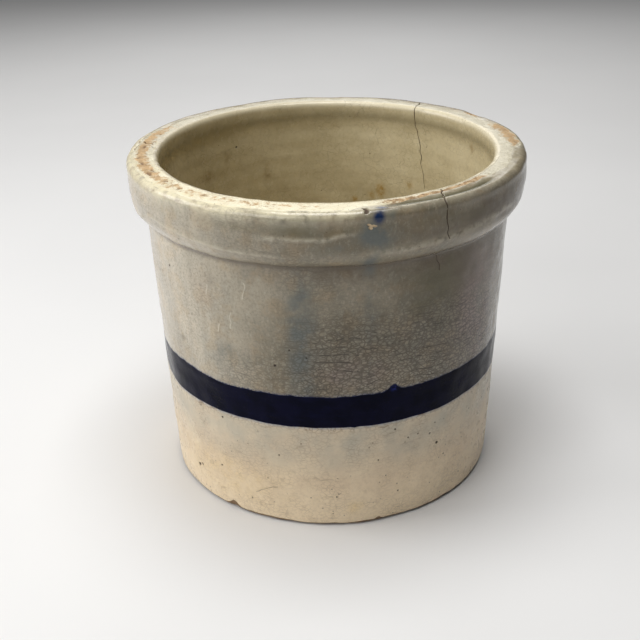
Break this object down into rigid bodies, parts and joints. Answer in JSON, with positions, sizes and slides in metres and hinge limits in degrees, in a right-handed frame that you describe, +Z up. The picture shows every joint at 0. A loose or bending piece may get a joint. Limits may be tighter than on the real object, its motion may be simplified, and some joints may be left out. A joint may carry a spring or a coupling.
{
  "type": "fermenting crock",
  "caption": "Open straight-sided stoneware crock with a heavy rolled rim and a dark band, for fermenting and storing food.",
  "frame": {"origin": "centre of the base, on the plane the crock stands on", "axes": "+Z up, along the turning axis and out of the mouth; -Y is the front, where the blue drip runs down from the rim a little to the right"},
  "size_m": [0.2098, 0.2098, 0.178],
  "materials": {
    "stoneware": "bare fired clay, matt and rough",
    "lining_glaze": "glossy olive-beige glaze",
    "upper_glaze": "glossy crazed grey-beige glaze",
    "cobalt_glaze": "glossy near-black cobalt glaze",
    "lower_glaze": "satin crazed cream glaze"
  },
  "bodies": {
    "root": {"stoneware_body": "stoneware", "lining_glaze": "lining_glaze", "upper_glaze": "upper_glaze", "cobalt_band": "cobalt_glaze", "lower_glaze": "lower_glaze"}
  },
  "joints": []
}
